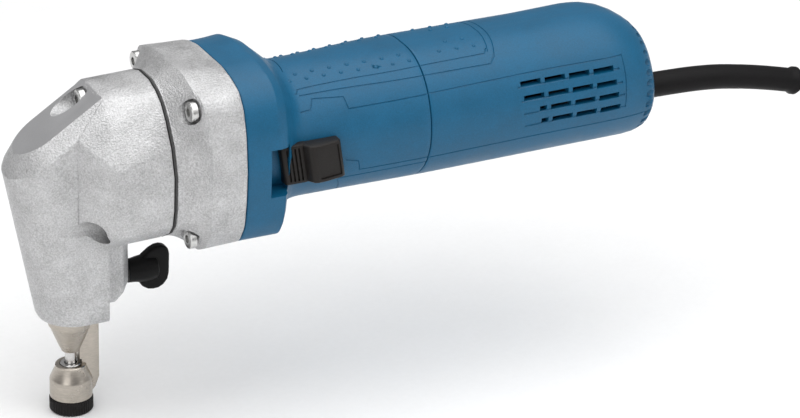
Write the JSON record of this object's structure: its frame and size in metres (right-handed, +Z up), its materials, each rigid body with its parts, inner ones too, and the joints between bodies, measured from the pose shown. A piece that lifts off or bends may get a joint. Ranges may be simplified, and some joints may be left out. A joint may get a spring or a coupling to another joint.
{
  "type": "sheet metal nibbler",
  "caption": "Mains-powered nibbler: cast working head with round die carrier and punch, gear housing, blue motor grip with slide switch, rear cover and cord",
  "frame": {"origin": "middle of the tool's own box, without the cord, at the height of the die ring's underside", "axes": "+Z up along the punch axis, +X from the working head to the cord, -Y the side with the slide switch"},
  "size_m": [0.508, 0.1117, 0.1426],
  "materials": {
    "cast_aluminium": "bead-blasted sand texture, satin",
    "blue_plastic": "fine moulded texture, satin",
    "black_plastic": "moulded, satin",
    "slide_plastic": "moulded, satin",
    "black_rubber": "moulded, matt",
    "cord_sheath": "extruded, satin",
    "gasket_paper": "pressed fibre, matt",
    "satin_steel": "turned and satin nickel plated",
    "black_oxide": "black oxide",
    "bright_steel": "ground",
    "bearing_steel": "ground and polished",
    "zinc_screw": "zinc plated",
    "brush_brass": "drawn",
    "lamination": "stacked sheet",
    "copper": "enamelled winding",
    "carbon": "pressed carbon",
    "white_plastic": "moulded"
  },
  "bodies": {
    "frame": {"head_casting": "cast_aluminium", "gear_housing": "cast_aluminium", "bearing_plate": "cast_aluminium", "motor_housing": "blue_plastic", "rear_cover": "blue_plastic", "switch_module": "black_plastic", "air_baffle": "black_plastic", "cable_clamp": "black_plastic", "bend_sleeve": "black_rubber", "plug": "black_rubber", "cord_tie": "black_rubber", "power_cord": "cord_sheath", "cord_coil": "cord_sheath", "plug_lead": "cord_sheath", "head_gasket": "gasket_paper", "brush_spring_upper": "bright_steel", "brush_spring_lower": "bright_steel", "eccentric_bearing_1": "bearing_steel", "eccentric_bearing_2": "bearing_steel", "motor_bearing_front": "bearing_steel", "motor_bearing_rear": "bearing_steel", "head_screw_1": "zinc_screw", "head_screw_2": "zinc_screw", "head_screw_3": "zinc_screw", "housing_screw_1": "zinc_screw", "housing_screw_2": "zinc_screw", "housing_screw_3": "zinc_screw", "housing_screw_4": "zinc_screw", "cover_screw": "zinc_screw", "clamp_screw_1": "zinc_screw", "clamp_screw_2": "zinc_screw", "brush_holder_upper": "brush_brass", "brush_holder_lower": "brush_brass", "stator_core": "lamination", "field_coil_upper": "copper", "field_coil_lower": "copper", "carbon_brush_upper": "carbon", "carbon_brush_lower": "carbon", "capacitor": "white_plastic"},
    "switch": {"switch_slide": "slide_plastic", "switch_rod": "black_plastic"},
    "carrier": {"die_carrier": "satin_steel", "die": "bright_steel", "die_ring": "black_oxide"},
    "ram": {"ram": "bright_steel", "punch": "bright_steel"},
    "armature": {"armature_shaft": "bright_steel", "armature_core": "lamination", "armature_winding_front": "copper", "armature_winding_rear": "copper", "commutator": "copper", "cooling_fan": "black_plastic"},
    "layshaft": {"layshaft": "bright_steel", "layshaft_gear": "bright_steel"},
    "eccentric": {"eccentric_shaft": "bright_steel", "eccentric_gear": "bright_steel"},
    "rod": {"connecting_rod": "bright_steel", "wrist_pin": "bright_steel"},
    "plunger": {"lock_plunger": "bright_steel"},
    "knob": {"wing_knob": "black_plastic"}
  },
  "joints": [
    {"name": "switch_travel", "type": "slide", "parent": "frame", "child": "switch", "axis": [-1, 0, 0], "range_m": [0, 0.0075]},
    {"name": "carrier_turn", "type": "hinge", "parent": "frame", "child": "carrier", "pos_m": [-0.1119, 0, 0.045], "axis": [0, 0, 1], "continuous": true},
    {"name": "ram_stroke", "type": "slide", "parent": "frame", "child": "ram", "axis": [0, 0, 1], "range_m": [0, 0.0065]},
    {"name": "armature_spin", "type": "hinge", "parent": "frame", "child": "armature", "pos_m": [0.0081, 0, 0.1056], "axis": [1, 0, 0], "continuous": true},
    {"name": "layshaft_spin", "type": "hinge", "parent": "frame", "child": "layshaft", "pos_m": [-0.0669, 0, 0.0884], "axis": [1, 0, 0], "continuous": true},
    {"name": "eccentric_spin", "type": "hinge", "parent": "frame", "child": "eccentric", "pos_m": [-0.0819, 0, 0.1056], "axis": [1, 0, 0], "continuous": true},
    {"name": "rod_swing", "type": "hinge", "parent": "eccentric", "child": "rod", "pos_m": [-0.1119, 0, 0.10235], "axis": [1, 0, 0], "continuous": true},
    {"name": "knob_turn", "type": "hinge", "parent": "frame", "child": "knob", "pos_m": [-0.0784, 0, 0.0555], "axis": [1, 0, 0], "range_deg": [0, 720]},
    {"name": "plunger_travel", "type": "slide", "parent": "frame", "child": "plunger", "axis": [1, 0, 0], "range_m": [0, 0.0025]}
  ],
  "couplings": [
    {"joint": "layshaft_spin", "follows": "armature_spin", "ratio": -0.26471},
    {"joint": "eccentric_spin", "follows": "armature_spin", "ratio": 0.081448},
    {"joint": "rod_swing", "follows": "armature_spin", "ratio": -0.081448},
    {"joint": "knob_turn", "follows": "plunger_travel", "rad_per_m": 5026.5}
  ]
}
